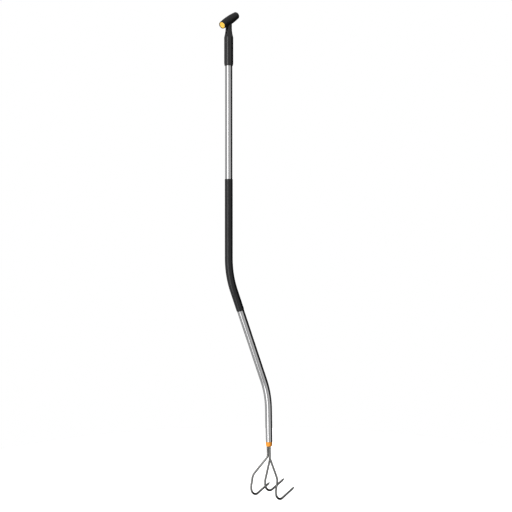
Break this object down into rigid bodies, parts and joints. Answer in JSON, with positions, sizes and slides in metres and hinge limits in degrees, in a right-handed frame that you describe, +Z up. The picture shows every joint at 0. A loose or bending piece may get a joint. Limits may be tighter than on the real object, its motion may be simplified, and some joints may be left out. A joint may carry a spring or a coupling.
{
  "type": "long-handled hand cultivator",
  "caption": "Long-handled garden cultivator: bent metal tube with a T-grip on top, a rubber hand sleeve over the bend and forged steel hook tines below.",
  "frame": {"origin": "on the axis of the upper tube, at the middle height of the moulded barrel that a rack clip holds", "axes": "+Z up the shaft, +X the way the tine points look, +Y to the tool's left; the tool's plane of symmetry is XZ"},
  "size_m": [0.3444, 0.1196, 1.6642],
  "materials": {
    "tube_aluminium": "satin drawn aluminium",
    "sleeve_rubber": "smooth satin rubber",
    "socket_plastic": "satin moulded nylon",
    "core_plastic": "plain moulded nylon",
    "grip_rubber": "fine matt soft-touch rubber",
    "orange_plastic": "semi-gloss moulded plastic",
    "tine_steel": "satin ground steel",
    "screw_steel": "blackened steel",
    "rivet_aluminium": "bright aluminium"
  },
  "bodies": {
    "root": {"handle_tube": "tube_aluminium", "hand_sleeve": "sleeve_rubber", "grip_socket": "socket_plastic", "t_bar_core": "core_plastic", "t_bar_grip": "grip_rubber", "end_disc": "orange_plastic", "neck_screws": "screw_steel", "socket_rivet": "rivet_aluminium", "tine_socket": "orange_plastic", "plug_rivet": "rivet_aluminium", "tine_left": "tine_steel", "tine_middle": "tine_steel", "tine_right": "tine_steel"}
  },
  "joints": []
}
